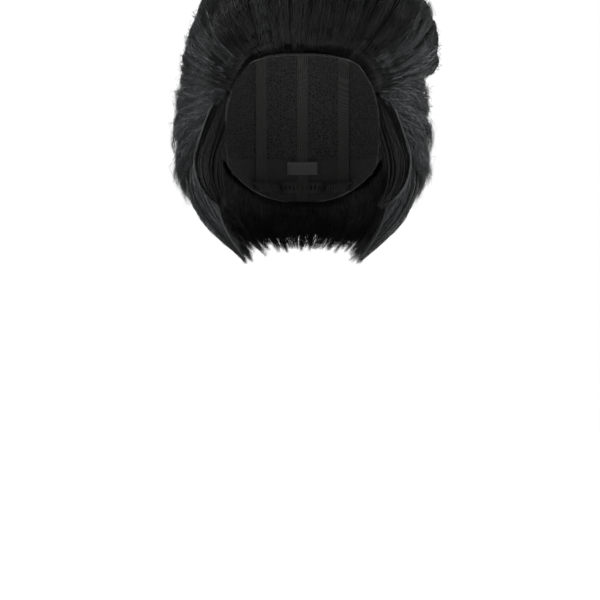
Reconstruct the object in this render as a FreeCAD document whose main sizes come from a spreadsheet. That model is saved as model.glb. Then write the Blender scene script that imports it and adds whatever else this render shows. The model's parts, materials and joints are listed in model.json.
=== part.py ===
import FreeCAD, Part
import os
import re
import Sketcher
from FreeCAD import Placement, Rotation, Vector

# A costume wig with a swept-up pompadour, long sideburns and nape hair that hugs the neck.
# Frame: +Z is up, the wearer faces -Y, and the wearer's left is +X.
# The origin is on the mid-plane at the level of the ear tabs, inside the head space.
# The cap is built of thin layers over one head-shaped ellipsoid, from the skin outwards:
# adjusters, tapes, edge bands, net, weft tracks, hair.

os.makedirs("parts", exist_ok=True)
doc = FreeCAD.newDocument("pompadour_wig")

# ---------------------------------------------------------------- driving dimensions, mm
DIMS = {
    # the head form that the cap fits
    "head_centre_z": 20.0, "head_half_width": 76.0, "head_half_depth": 97.0, "head_half_height": 92.0,
    # heights of the cap layers above the head form
    "tape_in": 0.0, "tape_out": 0.6, "band_in": 0.7, "band_out": 1.3, "net_in": 1.4, "net_out": 1.8,
    "weft_in": 1.9, "weft_out": 2.9, "hair_in": 3.2, "label_in": -1.1, "label_out": -0.6,
    # cap fabrics
    "band_width": 12.0, "tape_half_width": 5.0, "side_tape_x": 38.0, "cross_tape_z": 34.5,
    "panel_top_z": -6.0, "fabric_gap": 0.4, "far": 140.0,
    "crown_weft_z": 91.0, "crown_weft_pitch": 10.0, "weft_height": 3.0, "weft_lowest_z": -36.0,
    "weft_pitch": 14.0, "weft_front_y": -14.0,
    "front_weft_inset": 3.0, "front_weft_width": 4.0, "label_half_width": 14.0, "label_z": -20.0,
    "label_height": 12.0,
    # hair masses
    "hair_half_width": 118.0, "quiff_centre_y": 2.0, "quiff_centre_z": 78.0, "quiff_half_depth": 118.0,
    "quiff_half_height": 97.0, "drop_centre_y": 12.0, "drop_centre_z": 8.0, "drop_half_depth": 106.0,
    "drop_half_height": 119.0,
    "neck_centre_y": -5.0, "neck_centre_z": -40.0, "neck_half_width": 77.0, "neck_half_depth": 74.0,
    "neck_half_height": 80.0, "neck_column_radius": 51.0, "neck_column_y": -6.0,
    "cheek_centre_z": -12.0, "cheek_half_width": 98.0, "cheek_half_depth": 86.0,
    "cheek_half_height": 87.0, "hair_top": 200.0, "hair_gap": 0.4, "notch_z": 66.0, "roll_half_width": 58.0,
    "crown_front_y": -10.0, "back_front_y": 38.0, "nape_top_z": -38.0, "tail_front_y": 30.0,
    "feather_x": 104.0,
    # ear tabs, stays and sideburns
    "stay_front_y": -37.0, "stay_width": 5.0, "stay_low_z": -8.0, "stay_height": 22.0,
    # adjusters, which follow a cone about an upright axis at the nape
    "nape_axis_y": 31.0, "nape_radius": 49.1, "nape_z": -32.0, "nape_slope": 0.72,
    "strap_half_height": 3.5, "strap_in": -2.4, "strap_out": -1.6, "sleeve_wall": 0.6,
    "sleeve_play": 0.35, "strip_in": -1.2, "strip_out": -0.5, "strip_half_height": 5.0,
    "strip_start": 0.3, "strip_end": 21.0, "slot_pitch": 4.5, "slot_start": 4.0,
    "slot_width": 2.2, "slot_half_height": 2.2,
    "hook_start": 22.0, "hook_span": 6.0, "hook_half_height": 4.6, "hook_rim": 1.3, "hook_window_half": 2.6,
    "hook_gap": 0.1, "strap_end": 56.0, "sleeve_start": 40.0, "sleeve_end": 60.0,
    # how far a cutter reaches past what it cuts: a height in mm and an angle in degrees
    "punch_height": 1.0, "past_end": 5.0,
}

# Corners of the outlines drawn in side view: y, z.
SIDE_POINTS = {
    "rim_front": (-72.6, 81.0), "rim_brow": (-57.3, 78.3), "rim_corner": (-49.4, 73.8),
    "rim_temple": (-45.5, 55.0),
    "rim_tab_front": (-47.0, 17.5), "rim_tab_back": (-15.0, 17.5), "rim_ear": (0.0, 20.0),
    "rim_behind_ear": (15.0, 14.0), "rim_mastoid": (35.0, -15.0), "rim_nape_side": (60.0, -40.0),
    "rim_nape": (68.0, -45.0), "rim_back_low": (120.0, -45.0), "rim_back_high": (120.0, 140.0),
    "rim_front_high": (-120.0, 140.0), "rim_front_low": (-120.0, 81.5),
    "void_hairline": (-73.0, 83.5), "void_brow": (-57.5, 80.5), "void_corner": (-50.0, 75.5),
    "void_temple": (-46.2, 55.0),
    "void_tab_front": (-47.5, 17.8), "void_tab_back": (-19.0, 17.8), "void_ear": (-19.0, -20.0),
    "void_jaw": (-14.0, -45.0), "void_neck": (-4.0, -80.0), "void_tip": (4.0, -130.0),
    "void_low": (-130.0, -130.0), "void_high": (-130.0, 94.0),
    "tab_front_top": (-46.5, 16.0), "tab_front_low": (-44.0, 0.0), "tab_tip": (-37.0, -14.0),
    "tab_back_low": (-28.0, -9.0), "tab_back_top": (-21.0, 16.0),
    "burn_front_top": (-47.0, 15.0), "burn_front_mid": (-49.0, -12.0), "burn_front_low": (-53.0, -38.0),
    "burn_tip": (-64.0, -58.0), "burn_back_low": (-37.0, -38.0), "burn_back_mid": (-23.0, -14.0),
    "burn_back_top": (-20.5, 15.0),
}

# Corners of the sideburn's outline in front view: x, z.
FRONT_POINTS = {
    "cheek_in_top": (65.0, 15.0), "cheek_in_high": (72.0, 0.0), "cheek_in_mid": (75.0, -15.0),
    "cheek_in_low": (72.0, -36.0), "cheek_tip_in": (65.0, -55.0), "cheek_tip_out": (70.0, -52.0),
    "cheek_out_low": (90.0, -36.0), "cheek_out_mid": (97.0, -8.0), "cheek_out_top": (88.0, 10.5),
}

sheet = doc.addObject("Spreadsheet::Sheet", "dims")


def fill_sheet():
    """Put every driving dimension into the sheet, one named row each."""
    rows = dict(DIMS)
    for name, (y, z) in SIDE_POINTS.items():
        rows[name + "_y"] = y
        rows[name + "_z"] = z
    for name, (x, z) in FRONT_POINTS.items():
        rows[name + "_x"] = x
        rows[name + "_z"] = z
    for number, (alias, value) in enumerate(rows.items(), start=1):
        sheet.set(f"A{number}", alias.replace("_", " "))
        sheet.set(f"B{number}", str(value))
        sheet.setAlias(f"B{number}", alias)
    doc.recompute()
    return set(rows)


NAMES = fill_sheet()


def bind(obj, prop, expression):
    """Bind a property to an expression in which dimensions go by their plain names."""
    text = re.sub(r"[a-z_]+", lambda m: "dims." + m.group() if m.group() in NAMES else m.group(),
                  str(expression))
    obj.setExpression(prop, text)


# ---------------------------------------------------------------- building blocks
def ellipsoid(label, centre, half_sizes):
    solid = doc.addObject("Part::Ellipsoid", label)
    for prop, size in zip(("Radius2", "Radius3", "Radius1"), half_sizes):
        bind(solid, prop, size)
    for axis, place in zip("xyz", centre):
        bind(solid, "Placement.Base." + axis, place)
    return solid


def head(label, height):
    """The head form grown by a height above its surface."""
    half_sizes = [f"{size} + {height}" for size in ("head_half_width", "head_half_depth", "head_half_height")]
    return ellipsoid(label, (0, 0, "head_centre_z"), half_sizes)


def block(label, x_range, y_range, z_range):
    """A box from three pairs of limits, each an expression."""
    box = doc.addObject("Part::Box", label)
    for prop, axis, (low, high) in zip(("Length", "Width", "Height"), "xyz", (x_range, y_range, z_range)):
        bind(box, prop, f"({high}) - ({low})")
        bind(box, "Placement.Base." + axis, low)
    return box


def cut(label, base, tool):
    result = doc.addObject("Part::Cut", label)
    result.Base = base
    result.Tool = tool
    return result


def common(label, *shapes):
    result = doc.addObject("Part::MultiCommon", label)
    result.Shapes = list(shapes)
    return result


def mirrored(label, source):
    """The same piece on the wearer's other side."""
    result = doc.addObject("Part::Mirroring", label)
    result.Source = source
    result.Normal = Vector(1, 0, 0)
    return result


def outline(label, corners, across, rotation):
    """A closed sketch whose corners are bound to the sheet. across is the sheet suffix of its first axis."""
    sketch = doc.addObject("Sketcher::SketchObject", label)
    sketch.Placement = Placement(Vector(0, 0, 0), rotation)
    count = len(corners)
    points = [Vector(sheet.get(c + across), sheet.get(c + "_z"), 0) for c in corners]
    for i in range(count):
        sketch.addGeometry(Part.LineSegment(points[i], points[(i + 1) % count]))
    for i, corner in enumerate(corners):
        sketch.addConstraint(Sketcher.Constraint("Coincident", i, 2, (i + 1) % count, 1))
        for kind, suffix, value in (("DistanceX", across, points[i].x), ("DistanceY", "_z", points[i].y)):
            number = sketch.addConstraint(Sketcher.Constraint(kind, -1, 1, i, 1, value))
            sketch.renameConstraint(number, corner + suffix)
            bind(sketch, "Constraints." + corner + suffix, corner + suffix)
    return sketch


def side_outline(label, corners):
    return outline(label, corners, "_y", Rotation(Vector(0, 1, 0), Vector(0, 0, 1), Vector(1, 0, 0), "ZXY"))


def front_outline(label, corners):
    return outline(label, corners, "_x", Rotation(Vector(1, 0, 0), Vector(0, 0, 1), Vector(0, -1, 0), "ZXY"))


def inset(label, source, distance):
    """The outline moved inwards by a distance, corners kept sharp."""
    result = doc.addObject("Part::Offset2D", label)
    result.Source = source
    result.Join = 2
    bind(result, "Value", f"-({distance})")
    return result


def prism(label, base, direction):
    """An outline pushed through the whole wig, both ways."""
    result = doc.addObject("Part::Extrusion", label)
    result.Base = base
    result.DirMode = "Custom"
    result.Dir = direction
    result.Symmetric = True
    result.Solid = True
    bind(result, "LengthFwd", "2 * far")
    return result


def layer(label, inside, outside):
    """A shell over the head form between two heights."""
    return cut(label, head(label + "_outside", outside), head(label + "_inside", inside))


X_WAY = Vector(1, 0, 0)
Y_WAY = Vector(0, 1, 0)
EVERYWHERE = ("-far", "far")
parts = {}

# ---------------------------------------------------------------- the cap's outline and layers
RIM = ["rim_front", "rim_brow", "rim_corner", "rim_temple", "rim_tab_front", "rim_tab_back", "rim_ear",
       "rim_behind_ear", "rim_mastoid", "rim_nape_side", "rim_nape", "rim_back_low", "rim_back_high",
       "rim_front_high", "rim_front_low"]
rim = side_outline("rim_outline", RIM)
cap_region = prism("cap_region", rim, X_WAY)
inner_region = prism("inner_region", inset("band_edge", rim, "band_width"), X_WAY)
edge_region = cut("edge_region", cap_region, inner_region)

tape_layer = layer("tape_layer", "tape_in", "tape_out")
band_layer = layer("band_layer", "band_in", "band_out")
net_layer = layer("net_layer", "net_in", "net_out")
weft_layer = layer("weft_layer", "weft_in", "weft_out")


def cap_piece(label, fabric_layer, x_range=EVERYWHERE, y_range=EVERYWHERE, z_range=EVERYWHERE, region=None):
    """One fabric of the cap: a layer, inside the cap's outline, between limits."""
    limits = block(label + "_limits", x_range, y_range, z_range)
    parts[label] = common(label, fabric_layer, region or cap_region, limits)


# ---------------------------------------------------------------- cap fabrics
cap_piece("front_hairline_band", band_layer, y_range=("-far", "-fabric_gap"), region=edge_region)
cap_piece("nape_elastic_band", band_layer, y_range=("0", "far"), region=edge_region)
cap_piece("centre_tape", tape_layer, x_range=("-tape_half_width", "tape_half_width"))
cap_piece("side_tape_left", tape_layer,
          x_range=("side_tape_x - tape_half_width", "side_tape_x + tape_half_width"))
cap_piece("cross_tape", band_layer, y_range=("-tape_half_width", "tape_half_width"),
          z_range=("cross_tape_z", "far"))
cap_piece("crown_net", net_layer, z_range=("panel_top_z + fabric_gap", "far"))
cap_piece("nape_panel", net_layer, z_range=("-far", "panel_top_z"))
parts["side_tape_right"] = mirrored("side_tape_right", parts["side_tape_left"])

# ---------------------------------------------------------------- weft tracks
BACK_WEFTS = 8
CROWN_WEFTS = 2
for row in range(BACK_WEFTS):
    bottom = f"weft_lowest_z + {row} * weft_pitch"
    cap_piece(f"back_weft_row_{row + 1}", weft_layer, y_range=("weft_front_y", "far"),
              z_range=(bottom, f"{bottom} + weft_height"))
for ring in range(CROWN_WEFTS):
    bottom = f"crown_weft_z + {ring} * crown_weft_pitch"
    cap_piece(f"crown_weft_ring_{ring + 1}", weft_layer, z_range=(bottom, f"{bottom} + weft_height"))

weft_outer_region = prism("weft_outer_region", inset("weft_outer_edge", rim, "front_weft_inset"), X_WAY)
weft_inner_edge = inset("weft_inner_edge", rim, "front_weft_inset + front_weft_width")
weft_inner_region = prism("weft_inner_region", weft_inner_edge, X_WAY)
cap_piece("front_weft", weft_layer, y_range=("-far", "weft_front_y - fabric_gap"),
          region=cut("front_weft_region", weft_outer_region, weft_inner_region))

# ---------------------------------------------------------------- blank size label
label_layer = layer("label_layer", "label_in", "label_out")
cap_piece("size_label", label_layer, x_range=("-label_half_width", "label_half_width"), y_range=("0", "far"),
          z_range=("label_z", "label_z + label_height"))

# ---------------------------------------------------------------- ear tabs, stays and sideburns
tab_outline = side_outline("tab_outline", ["tab_front_top", "tab_front_low", "tab_tip", "tab_back_low",
                                           "tab_back_top"])
tab_region = prism("tab_region", tab_outline, X_WAY)
LEFT_SIDE = ("0", "far")
cap_piece("ear_tab_left", net_layer, x_range=LEFT_SIDE, region=tab_region)
cap_piece("ear_stay_left", band_layer, x_range=LEFT_SIDE, y_range=("stay_front_y", "stay_front_y + stay_width"),
          z_range=("stay_low_z", "stay_low_z + stay_height"), region=tab_region)

burn_side = prism("sideburn_side_view", side_outline(
    "sideburn_side_outline", ["burn_front_top", "burn_front_mid", "burn_front_low", "burn_tip", "burn_back_low",
                              "burn_back_mid", "burn_back_top"]), X_WAY)
burn_front = prism("sideburn_front_view", front_outline(
    "sideburn_front_outline", ["cheek_in_top", "cheek_in_high", "cheek_in_mid", "cheek_in_low", "cheek_tip_in",
                               "cheek_tip_out", "cheek_out_low", "cheek_out_mid", "cheek_out_top"]), Y_WAY)
cheek = ellipsoid("cheek_mass", (0, 0, "cheek_centre_z"),
                  ("cheek_half_width", "cheek_half_depth", "cheek_half_height"))
hair_head = head("hair_head", "hair_in")
parts["sideburn_left"] = cut("sideburn_left", common("sideburn_block", burn_side, burn_front, cheek), hair_head)
for piece in ("ear_tab", "ear_stay", "sideburn"):
    parts[piece + "_right"] = mirrored(piece + "_right", parts[piece + "_left"])

# ---------------------------------------------------------------- hair masses on the cap
quiff = ellipsoid("quiff_mass", (0, "quiff_centre_y", "quiff_centre_z"),
                  ("hair_half_width", "quiff_half_depth", "quiff_half_height"))
drop = ellipsoid("drop_mass", (0, "drop_centre_y", "drop_centre_z"),
                 ("hair_half_width", "drop_half_depth", "drop_half_height"))
neck = ellipsoid("neck_space", (0, "neck_centre_y", "neck_centre_z"),
                 ("neck_half_width", "neck_half_depth", "neck_half_height"))
neck_column = doc.addObject("Part::Cylinder", "neck_column")
bind(neck_column, "Radius", "neck_column_radius")
bind(neck_column, "Height", "far")
bind(neck_column, "Placement.Base.y", "neck_column_y")
bind(neck_column, "Placement.Base.z", "-far")
face_space = prism("face_space", side_outline(
    "face_outline", ["void_hairline", "void_brow", "void_corner", "void_temple", "void_tab_front",
                     "void_tab_back", "void_ear", "void_jaw", "void_neck", "void_tip", "void_low",
                     "void_high"]), X_WAY)
whole_mass = doc.addObject("Part::Fuse", "whole_mass")
whole_mass.Base = quiff
whole_mass.Tool = drop
hair_shell = whole_mass
for label, tool in (("hair_over_head", hair_head), ("hair_over_neck", neck), ("hair_round_column", neck_column),
                    ("hair_shell", face_space)):
    hair_shell = cut(label, hair_shell, tool)

ABOVE_NOTCH = ("notch_z + hair_gap", "hair_top")
BELOW_NOTCH = ("nape_top_z", "notch_z")
NAPE = ("-far", "nape_top_z - hair_gap")


def hair_piece(label, x_range, y_range, z_range):
    parts[label] = common(label, hair_shell, block(label + "_limits", x_range, y_range, z_range))


hair_piece("pompadour_roll", ("-roll_half_width", "roll_half_width"), ("-far", "crown_front_y"), ABOVE_NOTCH)
hair_piece("pompadour_wing_left", ("roll_half_width + hair_gap", "far"), ("-far", "crown_front_y"), ABOVE_NOTCH)
hair_piece("crown_hair", EVERYWHERE, ("crown_front_y + hair_gap", "far"), ABOVE_NOTCH)
hair_piece("back_hair", EVERYWHERE, ("back_front_y + hair_gap", "far"), BELOW_NOTCH)
hair_piece("side_hair_left", ("0", "feather_x"), ("-far", "back_front_y"), BELOW_NOTCH)
hair_piece("side_feathers_left", ("feather_x + hair_gap", "far"), ("-far", "back_front_y"), BELOW_NOTCH)
hair_piece("nape_point_left", ("0", "far"), ("-far", "tail_front_y"), NAPE)
hair_piece("ducktail_left", ("hair_gap / 2", "far"), ("tail_front_y + hair_gap", "far"), NAPE)
for piece in ("pompadour_wing", "side_hair", "side_feathers", "nape_point", "ducktail"):
    parts[piece + "_right"] = mirrored(piece + "_right", parts[piece + "_left"])


# ---------------------------------------------------------------- nape adjusters
def nape_cone(label, height, half_height, start, end):
    """A solid sector of the nape cone. Angles run from straight back towards the wearer's left."""
    cone = doc.addObject("Part::Cone", label)
    bind(cone, "Radius1", f"nape_radius + {height} - ({half_height}) * nape_slope")
    bind(cone, "Radius2", f"nape_radius + {height} + ({half_height}) * nape_slope")
    bind(cone, "Height", f"2 * ({half_height})")
    bind(cone, "Angle", f"({end}) - ({start})")
    bind(cone, "Placement.Base.y", "nape_axis_y")
    bind(cone, "Placement.Base.z", f"nape_z - ({half_height})")
    cone.Placement.Rotation = Rotation(Vector(0, 0, 1), 0)
    bind(cone, "Placement.Rotation.Angle", f"90 - ({end})")
    return cone


def nape_strip(label, inside, outside, half_height, start, end):
    """A flat band on the nape cone: a sector less the same cone at its inner height."""
    outer = nape_cone(label + "_outside", outside, half_height, start, end)
    inner = nape_cone(label + "_inside", inside, half_height, f"({start}) - past_end",
                      f"({end}) + past_end")
    return cut(label, outer, inner)


strip = nape_strip("loop_strip_sheet", "strip_in", "strip_out", "strip_half_height", "strip_start", "strip_end")
SLOTS = 4
for slot in range(SLOTS):
    start = f"slot_start + {slot} * slot_pitch"
    hole = nape_cone(f"slot_{slot + 1}", "strip_out + punch_height", "slot_half_height", start,
                     f"{start} + slot_width")
    strip = cut("loop_strip_left" if slot == SLOTS - 1 else f"loop_strip_cut_{slot + 1}", strip, hole)
parts["loop_strip_left"] = strip

parts["adjuster_strap_left"] = nape_strip("adjuster_strap_left", "strap_in", "strap_out", "strap_half_height",
                                          "hook_start + hook_span", "strap_end")

hook_plate = nape_strip("hook_plate", "strap_in", "strap_out", "hook_half_height", "hook_start",
                        "hook_start + hook_span - hook_gap")
hook_window = nape_cone("hook_window", "strap_out + punch_height", "hook_window_half", "hook_start + hook_rim",
                        "hook_start + hook_span - hook_rim")
parts["adjuster_hook_left"] = cut("adjuster_hook_left", hook_plate, hook_window)

sleeve_body = nape_strip("sleeve_body", "strap_in - sleeve_play - sleeve_wall",
                         "strap_out + sleeve_play + sleeve_wall",
                         "strap_half_height + sleeve_play + sleeve_wall", "sleeve_start", "sleeve_end")
sleeve_hollow = nape_strip("sleeve_hollow", "strap_in - sleeve_play", "strap_out + sleeve_play",
                           "strap_half_height + sleeve_play", "sleeve_start - past_end",
                           "sleeve_end + past_end")
parts["adjuster_sleeve_left"] = cut("adjuster_sleeve_left", sleeve_body, sleeve_hollow)
for piece in ("loop_strip", "adjuster_strap", "adjuster_hook", "adjuster_sleeve"):
    parts[piece + "_right"] = mirrored(piece + "_right", parts[piece + "_left"])

# ---------------------------------------------------------------- check and export
doc.recompute()
for obj in doc.Objects:
    if "Invalid" in obj.State or "Error" in obj.State:
        raise RuntimeError(f"{obj.Label} did not recompute")
for label, piece in parts.items():
    if piece.Shape.isNull() or not piece.Shape.isValid() or not piece.Shape.Solids:
        raise RuntimeError(f"{label} has no valid solid")
    piece.Shape.exportStep(f"parts/{label}.step")
print(len(parts), "sub-parts")
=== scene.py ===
import json
import math

import bpy
import numpy as np
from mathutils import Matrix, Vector


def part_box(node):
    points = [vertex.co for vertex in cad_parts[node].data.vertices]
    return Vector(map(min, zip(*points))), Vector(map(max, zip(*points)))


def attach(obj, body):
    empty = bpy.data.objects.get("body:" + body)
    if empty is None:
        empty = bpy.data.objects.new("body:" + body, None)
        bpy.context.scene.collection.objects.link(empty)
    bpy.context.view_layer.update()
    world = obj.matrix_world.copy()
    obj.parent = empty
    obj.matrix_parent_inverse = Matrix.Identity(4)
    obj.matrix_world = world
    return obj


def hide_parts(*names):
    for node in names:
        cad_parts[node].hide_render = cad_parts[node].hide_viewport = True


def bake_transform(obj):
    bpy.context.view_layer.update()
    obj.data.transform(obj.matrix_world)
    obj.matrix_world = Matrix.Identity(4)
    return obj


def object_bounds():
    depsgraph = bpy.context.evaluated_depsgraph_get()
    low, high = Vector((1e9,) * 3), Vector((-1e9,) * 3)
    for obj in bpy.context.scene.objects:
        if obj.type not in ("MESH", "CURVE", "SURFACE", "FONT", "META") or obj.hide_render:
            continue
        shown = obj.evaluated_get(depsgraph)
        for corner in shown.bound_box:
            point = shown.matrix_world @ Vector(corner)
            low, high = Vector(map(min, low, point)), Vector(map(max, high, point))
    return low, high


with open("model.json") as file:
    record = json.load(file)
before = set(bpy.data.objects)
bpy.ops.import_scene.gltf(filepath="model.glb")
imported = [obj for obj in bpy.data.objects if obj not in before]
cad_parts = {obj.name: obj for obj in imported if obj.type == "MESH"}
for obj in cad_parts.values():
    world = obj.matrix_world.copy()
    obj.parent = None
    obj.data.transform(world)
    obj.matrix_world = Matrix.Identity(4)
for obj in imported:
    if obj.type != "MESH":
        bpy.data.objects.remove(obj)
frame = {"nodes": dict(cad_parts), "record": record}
cad_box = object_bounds()

MM = 0.001
SIDES = {"left": 1.0, "right": -1.0}  # the wearer's left is +X

# ---------------------------------------------------------------- the head and neck, from the frame
NET_TOP = np.array(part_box("crown_net")[1])
NET_HEIGHT = 1.8 * MM  # of the net's outer face above the head form
HEAD_CENTRE = np.array([0.0, 0.0, 20.0]) * MM
HEAD_SIZES = NET_TOP - NET_HEIGHT - HEAD_CENTRE
HAIR_HEIGHT = 2.0 * MM  # the nearest that hair comes to the head form
NECK_CENTRE = np.array([0.0, -5.0, -40.0]) * MM
NECK_SIZES = np.array([76.0, 73.0, 80.0]) * MM
NECK_TOP = -36.0 * MM
LEAST_REACH = 0.2  # of an ellipsoid's size, so that a point near its middle isn't thrown far out


# ---------------------------------------------------------------- curves and sheets of hair
SHORT_OF_LAST = 1.0001  # keeps a place just short of a grid's last line
LAST_SPAN = 1e-9  # keeps a line's end inside its last span
LEAST_LENGTH = 1e-12  # so that a vector of no length can be divided by


def smooth_line(points, count):
    """A Catmull-Rom line through the points, as count evenly stepped places."""
    p = np.asarray(points, float)
    p = np.vstack([2 * p[0] - p[1], p, 2 * p[-1] - p[-2]])
    t = np.linspace(0, len(p) - 3 - LAST_SPAN, count)
    i = t.astype(int)
    f = (t - i)[:, None]
    a, b, c, d = p[i], p[i + 1], p[i + 2], p[i + 3]
    square = 2 * a - 5 * b + 4 * c - d
    cube = 3 * b - a - 3 * c + d
    return 0.5 * (2 * b + (c - a) * f + square * f ** 2 + cube * f ** 3)


def smooth_sheet(guides, across, along):
    """A grid of places on the smooth sheet through the guide lines, across by along by 3, in metres."""
    lines = np.array([smooth_line(np.array(g) * MM, along) for g in guides])
    return np.stack([smooth_line(lines[:, k], across) for k in range(along)], axis=1)


def mirrored_fan(half):
    """Guides for both sides from the middle one and those on the wearer's left."""
    return [[(-x, y, z) for x, y, z in g] for g in reversed(half[1:])] + half


def on_side(guides, sign):
    """Guides drawn for the wearer's left, put on either side."""
    return [[(sign * x, y, z) for x, y, z in g] for g in guides]


def unit(v):
    """Vectors at length 1."""
    return v / np.maximum(np.linalg.norm(v, axis=-1, keepdims=True), LEAST_LENGTH)


def outward_normals(grid):
    """Unit normals of a sheet, all on the face that is turned away from the middle of the head."""
    n = unit(np.cross(np.gradient(grid, axis=0), np.gradient(grid, axis=1)))
    return n * np.sign((n * unit(grid - HEAD_CENTRE)).sum())


def sample(grid, u, v):
    """Values of a grid at fractions u across and v along it."""
    a = np.clip(u, 0, 1) * (grid.shape[0] - SHORT_OF_LAST)
    b = np.clip(v, 0, 1) * (grid.shape[1] - SHORT_OF_LAST)
    i, j = a.astype(int), b.astype(int)
    fa, fb = (a - i)[..., None], (b - j)[..., None]
    low = grid[i, j] * (1 - fa) + grid[i + 1, j] * fa
    high = grid[i, j + 1] * (1 - fa) + grid[i + 1, j + 1] * fa
    return low * (1 - fb) + high * fb


def push_out(points, centre, sizes, where=None):
    """Moves points that are inside an ellipsoid out to its face."""
    rel = points - centre
    reach = np.sqrt(((rel / sizes) ** 2).sum(-1, keepdims=True))
    inside = reach < 1
    if where is not None:
        inside = inside & where
    return np.where(inside, centre + rel / np.maximum(reach, LEAST_REACH), points)


def keep_off_body(points):
    """Keeps hair out of the cap and out of the space for the neck."""
    below = (points[..., 2] < NECK_TOP)[..., None]
    points = push_out(points, NECK_CENTRE, NECK_SIZES, below)
    return push_out(points, HEAD_CENTRE, HEAD_SIZES + HAIR_HEIGHT)


# ---------------------------------------------------------------- meshes
UV_NAME = "OFBake"
POINTS = 11  # along each strand
CORNERS = 3  # round each strand
FLATNESS = 0.7  # a strand's thickness, as a share of its width
SIDE_TILT = 1e-6  # gives a side to a strand that points straight out, too
COLUMNS = 128  # shades of strand side by side on the UV map
CORNER_PLACES = np.array([0.15, 0.5, 0.85])  # of a strand's corners across its column
UV_ENDS = (0.01, 0.99)  # of a strand along its column
STRANDS_EACH = 2700  # in one piece
LEAST_BODY = 0.3 * MM  # added outside packed hair, which stays solid where the cap flattens it
FACE_WIDTH = 0.49  # of each face of packed hair on the UV map
INNER_FACE = 0.5  # where the inner face starts on the UV map


def new_mesh(name, verts, loops, sizes, uvs, material):
    """A mesh object from flat arrays: vertices, loop vertex numbers, face sizes and a UV for each vertex."""
    me = bpy.data.meshes.new(name)
    me.vertices.add(len(verts))
    me.vertices.foreach_set("co", np.asarray(verts, np.float32).ravel())
    me.loops.add(len(loops))
    me.loops.foreach_set("vertex_index", np.asarray(loops, np.int32))
    starts = np.concatenate([[0], np.cumsum(sizes)[:-1]])
    me.polygons.add(len(sizes))
    me.polygons.foreach_set("loop_start", np.asarray(starts, np.int32))
    me.polygons.foreach_set("use_smooth", np.full(len(sizes), True))
    layer = me.uv_layers.new(name=UV_NAME)
    layer.data.foreach_set("uv", np.asarray(uvs, np.float32)[np.asarray(loops)].ravel())
    me.materials.append(material)
    me.update(calc_edges=True)
    me.validate()
    ob = bpy.data.objects.new(name, me)
    bpy.context.scene.collection.objects.link(ob)
    return ob


def strand_mesh(name, paths, radii, shades, material):
    """Closed three-sided tapering strands along paths, count by POINTS by 3."""
    count = len(paths)
    along = unit(np.gradient(paths, axis=1))
    side = unit(np.cross(along, unit(paths - HEAD_CENTRE)) + SIDE_TILT)
    up = np.cross(side, along)
    turn = np.arange(CORNERS) * 2 * math.pi / CORNERS
    ring = np.cos(turn)[:, None] * side[:, :, None, :] + FLATNESS * np.sin(turn)[:, None] * up[:, :, None, :]
    verts = paths[:, :, None, :] + ring * radii[:, :, None, None]
    base = (np.arange(count) * POINTS * CORNERS)[:, None, None]
    k = np.arange(POINTS - 1)[None, :, None] * CORNERS
    c = np.arange(CORNERS)[None, None, :]
    d = (c + 1) % CORNERS
    quads = np.stack([base + k + c, base + k + d, base + k + CORNERS + d, base + k + CORNERS + c], axis=-1)
    root = base[:, 0] + np.arange(CORNERS)[::-1]
    tip = base[:, 0] + (POINTS - 1) * CORNERS + np.arange(CORNERS)
    loops = np.concatenate([quads.ravel(), root.ravel(), tip.ravel()])
    sizes = np.concatenate([np.full(quads.size // 4, 4), np.full(2 * count, CORNERS)])
    uvs = np.empty((count, POINTS, CORNERS, 2))
    uvs[..., 0] = (shades[:, None, None] + CORNER_PLACES) / COLUMNS
    uvs[..., 1] = np.linspace(*UV_ENDS, POINTS)[None, :, None]
    return new_mesh(name, verts.reshape(-1, 3), loops, sizes, uvs.reshape(-1, 2), material)


def core_mesh(name, grid, outer, inner, material):
    """The closed dark body of hair under a sheet of strands, between two depths given along the sheet."""
    normals = outward_normals(grid)
    faces_out = keep_off_body(grid - normals * outer[None, :, None])
    faces_in = keep_off_body(grid - normals * inner[None, :, None])
    faces_out = faces_out + unit(faces_out - HEAD_CENTRE) * LEAST_BODY
    across, along = grid.shape[:2]
    verts = np.concatenate([faces_out.reshape(-1, 3), faces_in.reshape(-1, 3)])
    index = np.arange(across * along).reshape(across, along)
    low = index + across * along
    quads = []
    for face, flip in ((index, False), (low, True)):
        corners = [face[:-1, :-1], face[1:, :-1], face[1:, 1:], face[:-1, 1:]]
        quad = np.stack(corners, axis=-1).reshape(-1, 4)
        quads.append(quad[:, ::-1] if flip else quad)
    rim = np.concatenate([index[:, 0], index[-1, 1:], index[-2::-1, -1], index[0, -2:0:-1]])
    after = np.roll(rim, -1)
    quads.append(np.stack([after, rim, rim + across * along, after + across * along], axis=-1))
    quads = np.concatenate(quads)
    u, v = np.meshgrid(np.linspace(0, FACE_WIDTH, across), np.linspace(0, 1, along), indexing="ij")
    uv = np.stack([u, v], axis=-1).reshape(-1, 2)
    uvs = np.concatenate([uv, uv + [INNER_FACE, 0]])
    return new_mesh(name, verts, quads.ravel(), np.full(len(quads), 4), uvs, material)


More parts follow.
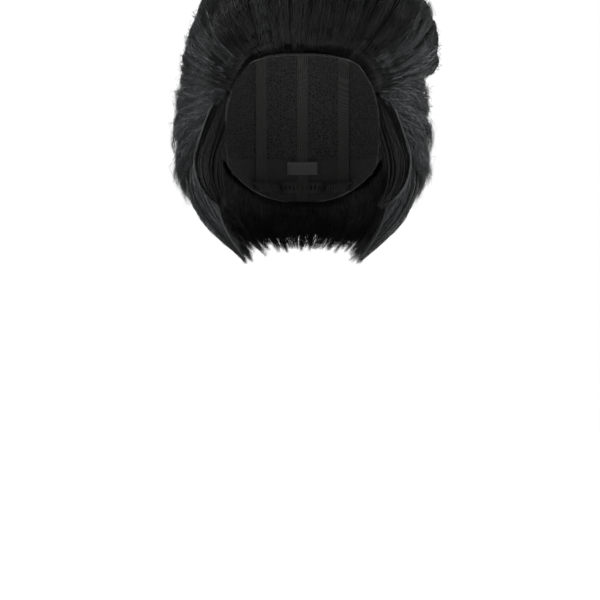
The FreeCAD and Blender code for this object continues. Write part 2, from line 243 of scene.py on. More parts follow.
# ---------------------------------------------------------------- growing strands
WAVE_PAIR = (1.0, 2.3)  # the two waves' paces
WAVE_PEAK = 1.43  # the most that the two waves add up to
PACE_SPREAD = (0.6, 1.4)  # from strand to strand
LOCK_BLUR = 0.35  # of a lock's width, by which strands stray from their lock and locks from even spacing
LOCK_SHORT = 1.5  # power that leaves most locks near full length
OWN_SHORT = 0.5  # of a lock's shortness, for each of its strands
LATE_ROOT = 0.05  # of the sheet's length, the latest that a strand starts
LATE_SHARE = 0.5  # of strands that start late
GATHERING = 1.6  # power by which a lock's strands gather, most of it near the tips
NEAR_FACE = 1.3  # power that puts more strands near the layer's face than deep in it
LOCK_LIFT = (-0.15, 0.35)  # of the layer's thickness, by which whole locks lie deeper or higher
WILD = 3.5  # times the usual frizz, on a stray strand
GROWN_RATE = 3  # sways reach their full size a third of the way along
LOCK_CURL = 0.8  # times that a whole lock waves
LOCK_OUT = 0.6  # of a lock's sideways sway, outwards
OWN_OUT = 0.8  # of a strand's sideways frizz, outwards
LOCK_SHADES = 7  # columns of shade from one lock to the next
STRAND_SHADES = 5  # columns of shade within a lock
TIP = 0.06  # of a strand's radius, at its tip
ROOT = 0.55  # of a strand's radius, at its root
ROOT_RATE = 6  # how fast a strand reaches its full radius
TIP_POWER = 2.5  # how late a strand thins towards its tip
RADIUS_SPREAD = (0.7, 1.25)  # from strand to strand
UNEVEN = 2.7  # pace of the wave that makes the pointed locks of an edge unequal
THINNING = 1  # one strand is drawn for this many


def waves(rng, shape, v, cycles):
    """Smooth random sways along each strand, from two sine waves each, in -1 to 1."""
    total = 0
    for pace in WAVE_PAIR:
        phase = rng.uniform(0, 2 * math.pi, shape)[..., None]
        speed = rng.uniform(*PACE_SPREAD, shape)[..., None] * cycles * pace
        total = total + np.sin(2 * math.pi * speed * v + phase) / pace
    return total / WAVE_PEAK


def grow(grid, rng, count, depth, locks, clump, sway, frizz, short, stray=0.03, curl=2.2, flare=0.0):
    """Strand paths on a sheet. depth is the layer's thickness along the sheet; sway moves whole locks and
    frizz single strands, in metres; curl is how many times a strand waves; short is the most that a strand
    falls short of the sheet's end; flare is how far the tips of some locks turn outwards."""
    normals = outward_normals(grid)
    u = np.sort(rng.random(count))
    lock = np.clip((u * locks + rng.normal(0, LOCK_BLUR, count)).astype(int), 0, locks - 1)
    middle = (np.arange(locks) + 0.5 + rng.uniform(-LOCK_BLUR, LOCK_BLUR, locks)) / locks
    lock_reach = 1 - short * rng.random(locks) ** LOCK_SHORT
    reach = lock_reach[lock] * (1 - OWN_SHORT * short * rng.random(count) ** 2)
    start = LATE_ROOT * rng.random(count) * (rng.random(count) < LATE_SHARE)
    t = np.linspace(0, 1, POINTS)[None, :]
    v = start[:, None] + (reach - start)[:, None] * t
    pull = clump * t ** GATHERING
    across = u[:, None] * (1 - pull) + middle[lock][:, None] * pull
    layer = rng.random(count) ** NEAR_FACE
    lift = rng.uniform(*LOCK_LIFT, locks)[lock]
    sink = np.interp(v, np.linspace(0, 1, len(depth)), depth) * (layer - lift)[:, None]
    places = sample(grid, across, v)
    outward = sample(normals, across, v)
    sideways = unit(np.cross(outward, np.gradient(places, axis=1)))
    wild = np.where(rng.random(count) < stray, WILD, 1.0)[:, None]
    grown = np.clip(t * GROWN_RATE, 0, 1)
    lock_side = waves(rng, locks, t, LOCK_CURL)[lock] * sway
    lock_out = waves(rng, locks, t, LOCK_CURL)[lock] * sway * LOCK_OUT
    own_side = waves(rng, count, t, curl) * frizz * wild
    own_out = waves(rng, count, t, curl) * frizz * wild * OWN_OUT
    turned_out = flare * (rng.random(locks) ** 2)[lock][:, None] * t ** 2
    moved = places + sideways * ((lock_side + own_side) * grown)[..., None]
    moved = moved + outward * ((lock_out + own_out) * grown + turned_out - sink)[..., None]
    shades = (lock * LOCK_SHADES + rng.integers(0, STRAND_SHADES, count)) % COLUMNS
    return keep_off_body(moved), shades


def taper(rng, count, radius):
    """Radii along each strand: full from the root, thinning to a point."""
    t = np.linspace(0, 1, POINTS)[None, :]
    shape = TIP + (1 - TIP) * (1 - t ** TIP_POWER) * np.clip(ROOT + ROOT_RATE * t, 0, 1)
    return shape * radius * rng.uniform(*RADIUS_SPREAD, count)[:, None]


def hair(name, grid, seed, count, radius, depth, body, nodes=(), ride=None, fibre=None, **style):
    """All the strands of a region, in pieces that ride on a body. The first piece replaces the nodes."""
    rng = np.random.default_rng(seed)
    count //= THINNING
    paths, shades = grow(grid, rng, count, np.asarray(depth) * MM, **style)
    radii = taper(rng, count, radius)
    for number in range(math.ceil(count / STRANDS_EACH)):
        part = slice(number * STRANDS_EACH, (number + 1) * STRANDS_EACH)
        ob = strand_mesh(f"{name}_strands_{number + 1}", paths[part], radii[part], shades[part],
                         fibre or SLEEK_FIBRE)
        (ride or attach)(ob, body)
        if nodes and number == 0:
            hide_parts(*nodes)


def part_of(grid, across=(0.0, 1.0), along=(0.0, 1.0), ragged=0.0, locks=30):
    """The same sheet over part of its width and length. Its end can be ragged, in pointed locks."""
    u = np.linspace(*across, grid.shape[0])[:, None]
    points = np.abs(np.sin(math.pi * locks * u)) * np.abs(np.sin(UNEVEN * locks * u))
    v = np.linspace(0, 1, grid.shape[1])[None, :] * (along[1] - ragged * points - along[0]) + along[0]
    return sample(grid, *np.broadcast_arrays(u, v))


def core(name, grid, outer, inner, body, nodes=(), ride=None, **part):
    """The body of hair that backs a region's strands, over part of its length and width."""
    grid = part_of(grid, **part)
    steps = np.linspace(0, 1, grid.shape[1])
    outer = np.interp(steps, np.linspace(0, 1, len(outer)), outer) * MM
    inner = np.interp(steps, np.linspace(0, 1, len(inner)), inner) * MM
    ob = core_mesh(f"{name}_underhair", grid, outer, inner, CORE)
    (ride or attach)(ob, body)
    if nodes:
        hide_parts(*nodes)


# ---------------------------------------------------------------- materials
def new_material(name, **values):
    """A Principled material with plain values on its sockets, and its nodes, links and shader."""
    mat = bpy.data.materials.new(name)
    mat.use_nodes = True
    tree = mat.node_tree
    shader = tree.nodes["Principled BSDF"]
    for socket, value in values.items():
        shader.inputs[socket.replace("_", " ")].default_value = value
    return mat, tree.nodes, tree.links, shader


def node(nodes, kind, **settings):
    """A new shader node, with values for its sockets or its own settings."""
    n = nodes.new("ShaderNode" + kind)
    for key, value in settings.items():
        if key in n.inputs:
            n.inputs[key].default_value = value
        else:
            setattr(n, key, value)
    return n


def ramp(nodes, stops):
    """A colour ramp through (place, colour) stops."""
    n = nodes.new("ShaderNodeValToRGB")
    elements = n.color_ramp.elements
    while len(elements) < len(stops):
        elements.new(0.5)
    for element, (place, colour) in zip(elements, stops):
        element.position = place
        element.color = (*colour, 1)
    return n


def emboss(nodes, links, shader, pattern, strength, depth):
    """Raises the surface by a pattern, up to a depth."""
    bump = node(nodes, "Bump", Strength=strength, Distance=depth)
    links.new(pattern, bump.inputs["Height"])
    links.new(bump.outputs[0], shader.inputs["Normal"])


def colour_by(nodes, links, shader, pattern, stops):
    """Colours the surface by a pattern, through the stops of a ramp."""
    shade = ramp(nodes, stops)
    links.new(pattern, shade.inputs[0])
    links.new(shade.outputs[0], shader.inputs["Base Color"])


STRAND_BLACK = (0.0050, 0.0053, 0.0056)  # of a middling strand
DARKEST, USUAL, LIGHTER, LIGHTEST = 0.5, 1.1, 2.2, 9.0  # strands, times that black
ALONG_STRAND = ((0.0, 0.7), (0.55, 1.2), (1.0, 0.55))  # how light a strand is at each share of its length
BODY_STREAKS = (260, 2.5, 1)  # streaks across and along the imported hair's UV map
BODY_DEPTH = 0.6 * MM  # of those streaks
BODY_BLACK = (0.002, 0.002, 0.0022)
BODY_GREY = (0.013, 0.0135, 0.014)


def strand_material(name, lightness, light_share, roughness, specular):
    """Black fibre: each strand its own shade of near-black, lightest half way along."""
    mat, nodes, links, shader = new_material(name, Roughness=roughness, IOR=1.4,
                                            Specular_IOR_Level=specular)
    uv = node(nodes, "UVMap", uv_map=UV_NAME)
    split = nodes.new("ShaderNodeSeparateXYZ")
    links.new(uv.outputs[0], split.inputs[0])
    column = node(nodes, "Math", operation="MULTIPLY")
    column.inputs[1].default_value = COLUMNS
    links.new(split.outputs[0], column.inputs[0])
    whole = node(nodes, "Math", operation="FLOOR")
    links.new(column.outputs[0], whole.inputs[0])
    chance = node(nodes, "TexWhiteNoise", noise_dimensions="1D")
    links.new(whole.outputs[0], chance.inputs["W"])
    black = np.array(STRAND_BLACK) * lightness
    factors = ((0.0, DARKEST), (0.5, USUAL), (1 - light_share, LIGHTER), (1.0, LIGHTEST))
    shade = ramp(nodes, [(place, tuple(black * factor)) for place, factor in factors])
    links.new(chance.outputs["Value"], shade.inputs[0])
    tips = ramp(nodes, [(place, (factor, factor, factor)) for place, factor in ALONG_STRAND])
    links.new(split.outputs[1], tips.inputs[0])
    mix = node(nodes, "MixRGB", blend_type="MULTIPLY", Fac=1.0)
    links.new(shade.outputs[0], mix.inputs[1])
    links.new(tips.outputs[0], mix.inputs[2])
    links.new(mix.outputs[0], shader.inputs["Base Color"])
    return mat


def core_material():
    """Packed fibre under the strands: darker, combed into fine streaks along the hair."""
    mat, nodes, links, shader = new_material("packed_fibre", Roughness=0.5, IOR=1.45)
    uv = node(nodes, "UVMap", uv_map=UV_NAME)
    stretch = nodes.new("ShaderNodeMapping")
    stretch.inputs["Scale"].default_value = BODY_STREAKS
    links.new(uv.outputs[0], stretch.inputs[0])
    streaks = node(nodes, "TexNoise", Scale=1.0, Detail=3.0)
    links.new(stretch.outputs[0], streaks.inputs["Vector"])
    colour_by(nodes, links, shader, streaks.outputs[0], [(0.3, BODY_BLACK), (0.7, BODY_GREY)])
    emboss(nodes, links, shader, streaks.outputs[0], strength=0.8, depth=BODY_DEPTH)
    return mat


SLEEK_FIBRE = strand_material("sleek_fibre", lightness=0.6, light_share=0.05, roughness=0.40, specular=0.28)
# A lighter copy of the same black fibre, with more of its strands at the lightest shade: painted highlight on
# the rim-lit temples, sides and nape points.
PAINTED_HIGHLIGHT_FIBRE = strand_material("painted_highlight_fibre", lightness=3.4, light_share=0.18, roughness=0.5, specular=0.5)
CORE = core_material()

# ---------------------------------------------------------------- the cap's own materials
SLOT_COLOURS = {m["slot"]: np.array(m["base_color"]) for m in frame["record"]["materials"]}
NET_CELL = 3.0 * MM  # across one opening of the net
NET_DEPTH = 0.15 * MM
GRAIN_DEPTH = 0.05 * MM
WAVE_PERIOD = math.pi / 10  # of Blender's wave texture at a scale of 1
FINE_THREAD = 0.6  # of the ribs' period, for the threads that cross them
THREAD_DEPTH = 0.2  # of the ribs' period
WEAVES = {  # period and direction of the ribs, direction of the finer threads, roughness
    "cap_tape": (1.7 * MM, "X", "DIAGONAL", 0.7),
    "elastic_webbing": (2.2 * MM, "X", "Z", 0.8),
    "panel_fabric": (1.5 * MM, "DIAGONAL", "X", 0.9),
    "weft_stitching": (1.8 * MM, "X", "DIAGONAL", 0.6),
    "label_satin": (1.2 * MM, "Z", "X", 0.35),
}
GRAINS = {  # roughness, metallic, specks in a metre along x, y and z
    "black_plastic": (0.4, 0.0, (900, 900, 900)),
    "stay_steel": (0.3, 1.0, (3000, 3000, 60)),
}


def tints(slot, *factors):
    """The slot's own colour, made darker or lighter by each factor."""
    return [tuple(np.clip(SLOT_COLOURS[slot] * factor, 0, 1)) for factor in factors]


def stripes(nodes, links, period, direction):
    """Stripes that repeat at a period in metres, across a direction of the frame."""
    place = nodes.new("ShaderNodeTexCoord")
    wave = node(nodes, "TexWave", bands_direction=direction, Scale=WAVE_PERIOD / period, Distortion=1.2)
    links.new(place.outputs["Object"], wave.inputs["Vector"])
    return wave.outputs[1]


def thread_work(slot, pattern, nodes, links, shader, depth):
    """Colours and embosses a cloth by its pattern of threads, from the slot's own colour."""
    dark, light = tints(slot, 0.45, 1.6)
    colour_by(nodes, links, shader, pattern, [(0.2, dark), (0.8, light)])
    emboss(nodes, links, shader, pattern, strength=0.7, depth=depth)


def woven(slot, period, across, over, roughness):
    """Woven or knitted cloth: ribs one way, crossed by finer threads."""
    mat, nodes, links, shader = new_material(slot, Roughness=roughness, IOR=1.4)
    both = node(nodes, "Math", operation="MAXIMUM")
    links.new(stripes(nodes, links, period, across), both.inputs[0])
    links.new(stripes(nodes, links, FINE_THREAD * period, over), both.inputs[1])
    thread_work(slot, both.outputs[0], nodes, links, shader, THREAD_DEPTH * period)
    return mat


def openwork(slot):
    """Stretch net: knitted threads round small dark openings."""
    mat, nodes, links, shader = new_material(slot, Roughness=0.8, IOR=1.4)
    place = nodes.new("ShaderNodeTexCoord")
    cells = node(nodes, "TexVoronoi", feature="DISTANCE_TO_EDGE", Scale=1 / NET_CELL, Randomness=0.85)
    links.new(place.outputs["Object"], cells.inputs["Vector"])
    threads = ramp(nodes, [(0.0, (1, 1, 1)), (0.14, (0.5, 0.5, 0.5)), (0.26, (0, 0, 0))])
    links.new(cells.outputs[0], threads.inputs[0])
    thread_work(slot, threads.outputs[0], nodes, links, shader, NET_DEPTH)
    return mat


def speckled(slot, roughness, metallic, stretch):
    """Moulded plastic or drawn metal: a fine grain, drawn out along the metal."""
    mat, nodes, links, shader = new_material(slot, Roughness=roughness, Metallic=metallic)
    place = nodes.new("ShaderNodeTexCoord")
    scale = nodes.new("ShaderNodeMapping")
    scale.inputs["Scale"].default_value = stretch
    links.new(place.outputs["Object"], scale.inputs["Vector"])
    grain = node(nodes, "TexNoise", Scale=1.0, Detail=3.0)
    links.new(scale.outputs[0], grain.inputs["Vector"])
    dark, light = tints(slot, 0.7, 1.25)
    colour_by(nodes, links, shader, grain.outputs[0], [(0.3, dark), (0.7, light)])
    emboss(nodes, links, shader, grain.outputs[0], strength=0.3, depth=GRAIN_DEPTH)
    return mat


def dress_cap():
    """Gives each node of the cap the material of its slot. The hair nodes are replaced, so they need none."""
    made = {"cap_net": openwork("cap_net")}
    for slot, weave in WEAVES.items():
        made[slot] = woven(slot, *weave)
    for slot, grain in GRAINS.items():
        made[slot] = speckled(slot, *grain)
    for part in frame["record"]["subparts"]:
        if part["material_slot"] in made:
            frame["nodes"][part["node"]].data.materials[0] = made[part["material_slot"]]


# ---------------------------------------------------------------- seams
STITCH_PITCH = 3.4 * MM
STITCH_SHARE = 0.62  # of the pitch that each stitch covers
STITCH_BOW = 0.25 * MM  # that a stitch stands off the cloth
THREAD_RADIUS = 0.17 * MM
TAPE_SEAM = 4.1 * MM  # from the middle of a tape to its seams
SIDE_TAPE = 38 * MM  # from the middle of the cap to a side tape
SIDE_TAPE_ARC = (0.88, 3.82)  # where a tape's seams run, as angles from the front over the top
CENTRE_TAPE_ARC = (0.76, 3.88)
TAPE_FACE = -0.4 * MM  # heights above the head form of the faces that are sewn, with room for their facets
BAND_FACE = 0.2 * MM
LABEL_FACE = -1.5 * MM
BAND_SEAM = [(0, 84), (25, 83.2), (39, 81), (47.5, 76.5), (55.5, 66), (62.5, 53), (68, 30), (69, 20)]  # x, z
LABEL_SEAM = 12.8  # x, to either side
LABEL_ENDS = (-19.3, -8.7)  # z
BAND_ZIGZAG = 1.0 * MM  # of the stitches to either side of the front band's seam
SEAM_STEPS = 200  # places along a tape's seam
BAND_STEPS = 400
LABEL_STEPS = 20
THREAD_DARK = (0.030, 0.030, 0.031)
THREAD_LIGHT = (0.085, 0.085, 0.087)


def thread_material():
    """Grey sewing thread with its twist."""
    mat, nodes, links, shader = new_material("sewing_thread", Roughness=0.6, IOR=1.45)
    uv = node(nodes, "UVMap", uv_map=UV_NAME)
    twist = node(nodes, "TexWave", bands_direction="Y", Scale=2.4, Distortion=0.4)
    links.new(uv.outputs[0], twist.inputs["Vector"])
    colour_by(nodes, links, shader, twist.outputs[1], [(0.2, THREAD_DARK), (0.8, THREAD_LIGHT)])
    return mat


THREAD = thread_material()


def over_head(x, arc):
    """A line from front to back along the inside of a tape, at x, between two angles."""
    angle = np.linspace(*arc, SEAM_STEPS)
    ring = (HEAD_SIZES + TAPE_FACE) * math.sqrt(1 - (x / HEAD_SIZES[0]) ** 2)
    places = [np.full(SEAM_STEPS, x), -np.cos(angle) * ring[1], np.sin(angle) * ring[2]]
    return HEAD_CENTRE + np.stack(places, axis=-1)


def on_head(x, z, height, way):
    """Places at x and z on the head form's front (way -1) or back (way 1), at a height above it."""
    sizes = HEAD_SIZES + height
    rest = 1 - (x / sizes[0]) ** 2 - ((z - HEAD_CENTRE[2]) / sizes[2]) ** 2
    return np.stack([x, way * sizes[1] * np.sqrt(rest), z], axis=-1)


def stitches(name, line, zigzag=0.0):
    """A row of stitches along a line of close points, each running from one side of it to the other."""
    run = np.concatenate([[0], np.cumsum(np.linalg.norm(np.diff(line, axis=0), axis=1))])
    count = int(run[-1] / STITCH_PITCH)
    t = np.linspace(0, 1, POINTS)[None, :]
    place = (np.arange(count)[:, None] + STITCH_SHARE * t) * STITCH_PITCH
    paths = np.stack([np.interp(place, run, line[:, k]) for k in range(3)], axis=-1)
    inward = unit(HEAD_CENTRE - paths)
    across = unit(np.cross(np.gradient(paths, axis=1), inward))
    turn = np.where(np.arange(count) % 2, 1.0, -1.0)[:, None]
    paths = paths + across * (zigzag * turn * (2 * t - 1))[..., None]
    paths = paths + inward * (STITCH_BOW * np.sin(math.pi * t))[..., None]
    ob = strand_mesh(name, paths, np.full((count, POINTS), THREAD_RADIUS), np.zeros(count), THREAD)
    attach(ob, "cap")


def sew_cap():
    """Seams along both edges of each tape, round the front band and at the label's ends."""
    for edge, shift in (("a", -TAPE_SEAM), ("b", TAPE_SEAM)):
        stitches(f"centre_tape_seam_{edge}", over_head(shift, CENTRE_TAPE_ARC))
        for side, sign in SIDES.items():
            stitches(f"side_tape_seam_{side}_{edge}", over_head(sign * SIDE_TAPE + shift, SIDE_TAPE_ARC))
    both_halves = np.array(BAND_SEAM[::-1] + [(-x, z) for x, z in BAND_SEAM[1:]]) * MM
    rim = smooth_line(both_halves, BAND_STEPS)
    stitches("front_band_seam", on_head(rim[:, 0], rim[:, 1], BAND_FACE, -1), zigzag=BAND_ZIGZAG)
    for side, sign in SIDES.items():
        x = np.full(LABEL_STEPS, sign * LABEL_SEAM * MM)
        z = np.linspace(*LABEL_ENDS, LABEL_STEPS) * MM
        stitches(f"label_seam_{side}", on_head(x, z, LABEL_FACE, 1))


# ---------------------------------------------------------------- guide lines, mm, wearer's left, root to tip
POMPADOUR = [
    [(0, -72, 82), (0, -93, 100), (0, -107, 128), (0, -99, 157), (0, -66, 174), (0, -20, 172),
     (0, 30, 158), (0, 78, 125)],
    [(25, -66, 81), (30, -89, 98), (36, -102, 126), (39, -93, 154), (37, -60, 171), (35, -15, 169),
     (34, 32, 154), (31, 78, 122)],
    [(40, -57, 78), (52, -78, 92), (66, -89, 118), (76, -79, 144), (75, -48, 159), (68, -8, 160),
     (61, 37, 146), (52, 80, 114)],
    [(49, -50, 74), (66, -67, 82), (89, -74, 104), (101, -60, 127), (99, -32, 143), (91, 4, 146),
     (80, 46, 131), (66, 84, 100)],
    [(56, -48, 64), (76, -60, 70), (102, -58, 88), (114, -40, 104), (115, -8, 116), (108, 28, 119),
     (95, 62, 106), (74, 92, 80)],
    [(61, -46, 54), (80, -53, 61), (106, -46, 73), (118, -22, 84), (119, 10, 93), (113, 44, 94),
     (98, 76, 83), (74, 100, 62)],
    [(63, -46, 49), (78, -48, 54), (100, -40, 62), (114, -16, 67), (117, 14, 72), (110, 50, 72),
     (94, 82, 61), (70, 103, 44)],
]
BACK = [
    [(0, 10, 162), (0, 60, 144), (0, 96, 114), (0, 115, 74), (0, 118, 28), (0, 109, -22), (0, 92, -62),
     (0, 72, -92)],
    [(30, 10, 159), (38, 58, 140), (45, 90, 110), (50, 107, 70), (50, 110, 26), (45, 101, -24),
     (36, 86, -63), (20, 68, -94)],
    [(62, 8, 147), (75, 50, 126), (84, 78, 96), (88, 91, 58), (88, 92, 16), (80, 85, -30),
     (64, 72, -67), (36, 58, -96)],
    [(90, 6, 120), (99, 38, 102), (101, 58, 76), (99, 66, 43), (96, 67, 4), (89, 62, -38),
     (74, 54, -70), (46, 44, -97)],
    [(94, 0, 92), (98, 20, 78), (98, 32, 58), (98, 38, 32), (96, 40, -4), (91, 38, -41), (77, 35, -72),
     (51, 28, -99)],
]
SIDE = [
    [(66, -45, 66), (81, -44, 70), (94, -30, 73), (101, -8, 75), (103, 18, 73), (102, 46, 66),
     (98, 76, 54)],
    [(66, -45, 58), (82, -44, 60), (98, -30, 58), (105, -8, 55), (107, 18, 51), (106, 46, 43),
     (100, 76, 31)],
    [(66, -44, 49), (82, -40, 49), (99, -26, 44), (107, -7, 37), (109, 16, 29), (107, 44, 18),
     (100, 74, 5)],
    [(68, -40, 38), (82, -35, 35), (98, -22, 28), (106, -5, 19), (109, 16, 8), (107, 43, -5),
     (99, 72, -19)],
    [(72, -33, 31), (86, -27, 22), (99, -16, 11), (106, -3, -1), (109, 14, -12), (104, 40, -26),
     (96, 66, -41)],
    [(77, -15, 23), (90, -12, 6), (98, -7, -7), (104, 0, -18), (106, 12, -30), (100, 36, -44),
     (90, 58, -58)],
]
NAPE = [
    [(80, -18, 22), (90, -15, -4), (90, -12, -28), (80, -8, -50), (67, -2, -69), (57, 4, -85),
     (51, 8, -101)],
    [(82, -12, 26), (94, -9, -2), (98, -5, -30), (88, 0, -56), (72, 6, -76), (60, 10, -90),
     (51, 10, -103)],
    [(84, 0, 30), (99, 3, 0), (103, 8, -28), (92, 12, -56), (74, 16, -77), (60, 16, -91),
     (51, 12, -103)],
    [(88, 22, 30), (101, 27, 0), (102, 30, -32), (91, 30, -60), (73, 28, -80), (59, 24, -93),
     (49, 17, -104)],
    [(90, 48, 30), (94, 54, 0), (91, 54, -32), (80, 50, -60), (63, 43, -79), (51, 34, -91),
     (43, 26, -101)],
]
SIDEBURN = [
    [(63.5, -46, 54), (65, -47, 30), (68.5, -49, 12), (74, -51, -8), (75, -53, -25), (72, -57, -40),
     (66, -61, -56)],
    [(66, -44, 57), (71, -44, 32), (78, -44, 10), (84, -44, -10), (83, -46, -28), (77, -51, -42),
     (69, -58, -55)],
    [(70, -42, 60), (77, -39, 35), (85, -35, 12), (91, -33, -8), (90, -35, -26), (82, -42, -41),
     (72, -53, -53)],
    [(74, -41, 60), (83, -36, 33), (90, -29, 10), (95.5, -25, -8), (94, -27, -24), (88, -34, -38),
     (76, -46, -50)],
]
# Guides for the strands of painted highlight that line each sideburn's edge.
SIDEBURN_HIGHLIGHT = [
    [(76, -47, 46), (84, -43, 30), (91.5, -37, 9), (96.5, -33, -7), (95, -35, -23), (89, -41, -37),
     (77, -51, -49)],
    [(77.5, -41, 46), (85.5, -36, 30), (93, -27, 9), (97.5, -22, -7), (96, -24, -23), (90, -32, -38),
     (78, -46, -50)],
]
NECK_LINING = [
    [(0, 70, -40), (0, 72, -58), (0, 70, -76), (0, 66, -89)],
    [(34, 60, -36), (38, 64, -56), (34, 62, -76), (24, 60, -91)],
    [(60, 38, -22), (68, 44, -46), (58, 48, -70), (40, 46, -92)],
    [(76, 10, 6), (84, 16, -34), (72, 22, -66), (52, 24, -93)],
    [(80, -8, 10), (86, -6, -30), (74, 4, -63), (53, 14, -95)],
]

GRID_ACROSS = 96
GRID_ALONG = 48
LEAN_HEIGHTS = (45 * MM, 60 * MM, 130 * MM)  # where the pompadour's slimming on the wearer's right changes
LEAN_WIDTHS = (1.0, 0.90, 0.81)  # its width there, as a share of the wearer's left
FRIZZ_REGIONS = {"right": (0.0, 0.24), "left": (0.76, 1.0)}  # of the pompadour's width
FRIZZ_LENGTH = (0.12, 0.9)
TUFT_PLACES = (0, 0.3, 0.7, 1)  # shares of the side hair's length
TUFT_LIFTS = (0, 1.0, 2.5, 3.0)  # mm that the tufts stand off it there


def lean(grid):
    """Slims the wearer's right of the pompadour, more towards its top."""
    narrow = np.interp(grid[..., 2], LEAN_HEIGHTS, LEAN_WIDTHS)
    slim = grid.copy()
    slim[..., 0] = np.where(grid[..., 0] < 0, grid[..., 0] * narrow, grid[..., 0])
    return slim


def build_pompadour():
    """The hair that is swept up from the front hairline and back, with dry frizz over each temple, in a
    lighter fibre that is painted highlight.
    """
    grid = lean(smooth_sheet(mirrored_fan(POMPADOUR), 2 * GRID_ACROSS, GRID_ALONG))
    core("pompadour", grid, outer=(4, 7, 9, 9, 7), inner=(5, 20, 28, 26, 18), body="cap",
         nodes=("pompadour_roll", "pompadour_wing_left", "pompadour_wing_right"),
         along=(0.05, 0.93), across=(0.01, 0.99))
    hair("pompadour", grid, seed=11, count=17000, radius=0.27 * MM, depth=(1, 5, 9, 9, 8), body="cap",
         locks=74, clump=0.45, sway=2.4 * MM, frizz=0.8 * MM, short=0.14)
    for side, across in FRIZZ_REGIONS.items():
        hair(f"pompadour_frizz_{side}", part_of(grid, across, FRIZZ_LENGTH), seed=19, count=1500,
             radius=0.20 * MM, depth=(0, 2, 3, 2), body="cap", fibre=PAINTED_HIGHLIGHT_FIBRE, locks=30, clump=0.5,
             sway=3.0 * MM, frizz=1.8 * MM, short=0.6, stray=0.08, curl=3.2, flare=6 * MM)


def build_back():
    """The hair from the crown down to the duck tail, and the short hair under the cap's nape."""
    grid = smooth_sheet(mirrored_fan(BACK), 2 * GRID_ACROSS, GRID_ALONG)
    core("back", grid, outer=(4, 6, 7, 6, 3), inner=(10, 20, 20, 14, 4), body="cap",
         nodes=("crown_hair", "back_hair", "ducktail_left", "ducktail_right"), along=(0.0, 0.94), ragged=0.03)
    hair("back", grid, seed=12, count=11000, radius=0.30 * MM, depth=(6, 8, 8, 7, 4), body="cap",
         locks=60, clump=0.4, sway=3.0 * MM, frizz=0.8 * MM, short=0.10)
    lining = smooth_sheet(mirrored_fan(NECK_LINING), 2 * GRID_ACROSS, GRID_ALONG)
    hair("nape_lining", lining, seed=16, count=3500, radius=0.32 * MM, depth=(0.5, 2, 3, 2), body="cap",
         locks=44, clump=0.3, sway=1.6 * MM, frizz=0.6 * MM, short=0.14)


def build_side(side, sign):
    """The dry hair that is combed back over an ear, with loose tufts that stand off it, both in a lighter
    fibre that is painted highlight.
    """
    grid = smooth_sheet(on_side(SIDE, sign), GRID_ACROSS, GRID_ALONG)
    core(f"side_{side}", grid, outer=(4, 7, 9, 9, 7), inner=(6, 18, 24, 24, 20), body="cap",
         nodes=(f"side_hair_{side}",), along=(0.03, 0.8), across=(0.0, 0.96), ragged=0.12, locks=14)
    hair(f"side_{side}", grid, seed=13, count=4800, radius=0.25 * MM, depth=(2, 7, 9, 9, 6), body="cap",
         nodes=(f"side_feathers_{side}",), fibre=PAINTED_HIGHLIGHT_FIBRE, locks=36, clump=0.35, sway=3.0 * MM,
         frizz=1.4 * MM, short=0.40, flare=3 * MM)
    lift = np.interp(np.linspace(0, 1, GRID_ALONG), TUFT_PLACES, TUFT_LIFTS) * MM
    tufts = grid + outward_normals(grid) * lift[None, :, None]
    hair(f"side_tufts_{side}", tufts, seed=17, count=3200, radius=0.22 * MM, depth=(1, 4, 4, 3), body="cap",
         fibre=PAINTED_HIGHLIGHT_FIBRE, locks=34, clump=0.6, sway=3.6 * MM, frizz=2.2 * MM, short=0.62, stray=0.08,
         curl=3.4, flare=7 * MM)


def build_nape_point(side, sign):
    """The hair behind an ear, which is drawn down to a point, in a lighter fibre that is painted highlight.
    """
    grid = smooth_sheet(on_side(NAPE, sign), GRID_ACROSS, GRID_ALONG)
    core(f"nape_point_{side}", grid, outer=(3, 4, 5, 4, 1.5), inner=(8, 14, 12, 8, 2.5), body="cap",
         nodes=(f"nape_point_{side}",), along=(0.0, 0.88), across=(0.05, 1.0), ragged=0.15, locks=12)
    hair(f"nape_point_{side}", grid, seed=14, count=3200, radius=0.26 * MM, depth=(3, 6, 6, 5, 2), body="cap",
         fibre=PAINTED_HIGHLIGHT_FIBRE, locks=32, clump=0.5, sway=1.8 * MM, frizz=0.8 * MM, short=0.28)


def build_sideburn(side, sign):
    """The pointed sideburn on an ear tab, with a few lighter strands along its edge as a painted highlight
    line.
    """
    grid = smooth_sheet(on_side(SIDEBURN, sign), GRID_ACROSS, GRID_ALONG)
    tab = f"ear_tab_{side}_body"

    def bend(ob, body):
        """Applies the hair's transform where it stands; the hair is attached to no body."""
        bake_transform(ob)

    core(f"sideburn_{side}", grid, outer=(3, 3.5, 4, 4, 2), inner=(5, 9, 11, 9, 3), body=tab,
         nodes=(f"sideburn_{side}",), ride=bend, along=(0.04, 0.88), across=(0.14, 0.94), ragged=0.1, locks=9)
    hair(f"sideburn_{side}", grid, seed=15, count=2900, radius=0.22 * MM, depth=(1, 5, 6, 6, 3), body=tab,
         ride=bend, locks=36, clump=0.3, sway=0.8 * MM, frizz=0.35 * MM, short=0.18, stray=0.02)
    # Lighter strands along the sideburn's edge: a painted highlight line.
    edge = smooth_sheet(on_side(SIDEBURN_HIGHLIGHT, sign), GRID_ACROSS, GRID_ALONG)
    hair(f"sideburn_edge_{side}", edge, seed=18, count=60, radius=0.22 * MM, depth=(0.3, 0.6, 0.3), body=tab,
         ride=bend, fibre=PAINTED_HIGHLIGHT_FIBRE, locks=3, clump=0.5, sway=0.4 * MM, frizz=0.25 * MM, short=0.08,
         stray=0.0)


dress_cap()
sew_cap()
build_pompadour()
build_back()
for side_name, side_sign in SIDES.items():
    build_side(side_name, side_sign)
    build_nape_point(side_name, side_sign)
    build_sideburn(side_name, side_sign)


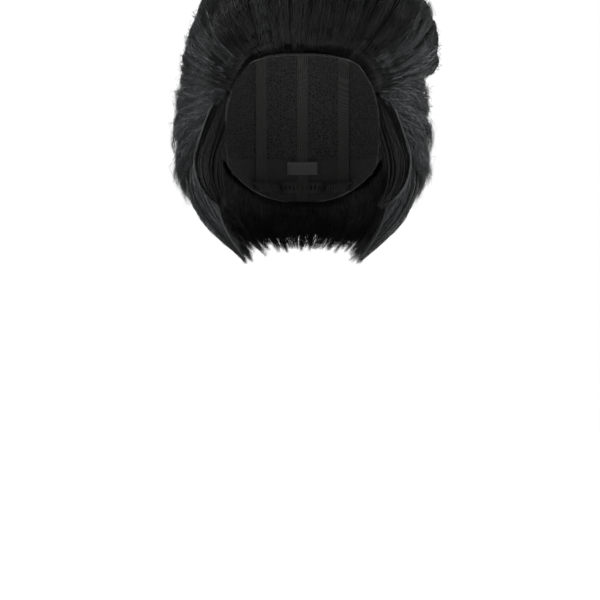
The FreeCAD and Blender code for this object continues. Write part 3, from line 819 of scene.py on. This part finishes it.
# ---------------------------------------------------------------- floor, lights, camera
FLOOR_HALF = 8.0
FLOOR_DROP = 0.40  # below the wig, where the foot of a stand would be
FLOOR_GLOW = 1.0
FLOOR_DARK = (0.30, 0.30, 0.30)
FLOOR_LIGHT = (0.34, 0.34, 0.34)
WHITE = (1, 1, 1, 1)
SURROUNDINGS = (0.96, 0.98, 1.0, 1)  # the colour of the light that they give the wig
AMBIENT = 0.20  # of the white surroundings, as the wig sees them
LIGHT_AIM = (0, 0, 0.05)
LIGHTS = {  # place, width and height, watts
    "key": ((-1.9, -0.7, 0.5), (0.8, 1.4), 40),
    "fill": ((1.9, -0.6, 0.5), (0.8, 1.4), 40),
    "front": ((0.3, -2.0, 1.3), (1.0, 0.8), 2),
    "top": ((0.0, 0.4, 1.8), (1.4, 1.0), 20),
}
CAMERA_DISTANCE = 4.0
SEEN_WIDTH = 0.54  # metres across the picture at the wig
PICTURE_MIDDLE = (-0.0022, -0.135)  # x and z, well below the wig, as for a whole bust
SENSOR_WIDTH = 36.0


def area_light(name, place, size, watts):
    """A rectangular light that faces the wig."""
    data = bpy.data.lights.new(name, "AREA")
    data.shape = "RECTANGLE"
    data.size, data.size_y = size
    data.energy = watts
    ob = bpy.data.objects.new(name, data)
    ob.location = place
    ob.rotation_euler = (Vector(LIGHT_AIM) - Vector(place)).to_track_quat("-Z", "Y").to_euler()
    bpy.context.scene.collection.objects.link(ob)


def build_floor():
    """A white floor that gives off the same white as the world, so that no edge shows."""
    me = bpy.data.meshes.new("floor")
    level = cad_box[0][2] - FLOOR_DROP
    corners = [(-FLOOR_HALF, -FLOOR_HALF), (FLOOR_HALF, -FLOOR_HALF), (FLOOR_HALF, FLOOR_HALF),
               (-FLOOR_HALF, FLOOR_HALF)]
    me.from_pydata([(x, y, level) for x, y in corners], [], [(0, 1, 2, 3)])
    mat, nodes, links, shader = new_material("white_floor", Roughness=1.0, Specular_IOR_Level=0.0,
                                            Emission_Color=WHITE, Emission_Strength=FLOOR_GLOW)
    grain = node(nodes, "TexNoise", Scale=6.0, Detail=2.0)
    colour_by(nodes, links, shader, grain.outputs[0], [(0.3, FLOOR_DARK), (0.7, FLOOR_LIGHT)])
    me.materials.append(mat)
    floor = bpy.data.objects.new("floor", me)
    bpy.context.scene.collection.objects.link(floor)


def build_world():
    """Surroundings that the camera sees as white, and that light the wig much less."""
    world = bpy.data.worlds.new("studio")
    world.use_nodes = True
    nodes, links = world.node_tree.nodes, world.node_tree.links
    seen = nodes["Background"]
    seen.inputs["Color"].default_value = WHITE
    seen.inputs["Strength"].default_value = 1.0
    lit = nodes.new("ShaderNodeBackground")
    lit.inputs["Color"].default_value = SURROUNDINGS
    lit.inputs["Strength"].default_value = AMBIENT
    path = nodes.new("ShaderNodeLightPath")
    mix = nodes.new("ShaderNodeMixShader")
    links.new(path.outputs["Is Camera Ray"], mix.inputs[0])
    links.new(lit.outputs[0], mix.inputs[1])
    links.new(seen.outputs[0], mix.inputs[2])
    links.new(mix.outputs[0], nodes["World Output"].inputs["Surface"])
    bpy.context.scene.world = world


def build_camera():
    """Level and from far off."""
    data = bpy.data.cameras.new("camera")
    data.sensor_width = SENSOR_WIDTH
    data.lens = SENSOR_WIDTH * CAMERA_DISTANCE / SEEN_WIDTH
    camera = bpy.data.objects.new("camera", data)
    camera.location = (PICTURE_MIDDLE[0], -CAMERA_DISTANCE, PICTURE_MIDDLE[1])
    camera.rotation_euler = (math.pi / 2, 0, 0)
    bpy.context.scene.collection.objects.link(camera)
    bpy.context.scene.camera = camera


build_floor()
build_world()
for light_name, light_facts in LIGHTS.items():
    area_light(light_name, *light_facts)
build_camera()
bpy.context.scene.view_settings.view_transform = "Standard"
